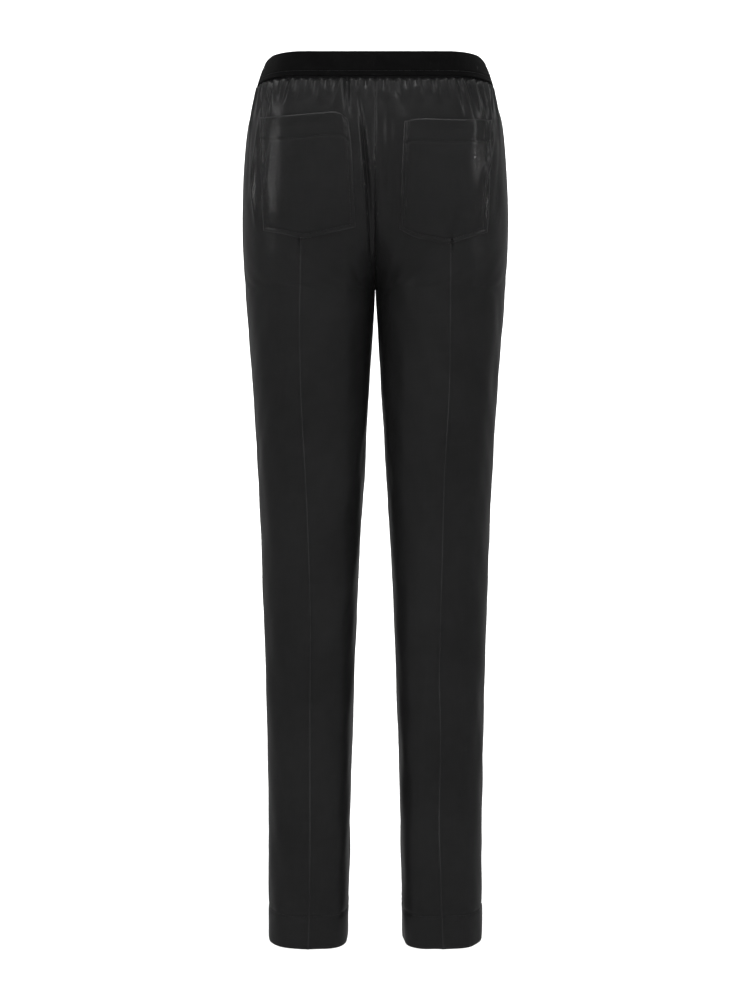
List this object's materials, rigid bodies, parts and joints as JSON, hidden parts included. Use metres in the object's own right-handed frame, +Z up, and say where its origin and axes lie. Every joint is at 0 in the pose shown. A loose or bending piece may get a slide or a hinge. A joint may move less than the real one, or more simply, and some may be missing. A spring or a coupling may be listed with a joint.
{
  "type": "pyjama pants",
  "caption": "Full-length pyjama pants with a wide elastic waistband, gathered top, back patch pockets and pressed creases, shown hollow as worn.",
  "frame": {"origin": "centre of the elastic waistband's ring, at the middle of its height, where the wearer's waist holds it", "axes": "+Z up towards the waist, -Y the wearer's front, +Y their back, +X the wearer's left"},
  "size_m": [0.3266, 0.228, 1.07],
  "materials": {
    "cloth": "smooth satin-faced weave, near black with a soft sheen",
    "elastic": "plush brushed elastic, deep matt black"
  },
  "bodies": {
    "root": {"waistband": "elastic", "back_left": "cloth", "back_right": "cloth", "front_left": "cloth", "front_right": "cloth", "pocket_left": "cloth", "pocket_right": "cloth"}
  },
  "joints": []
}
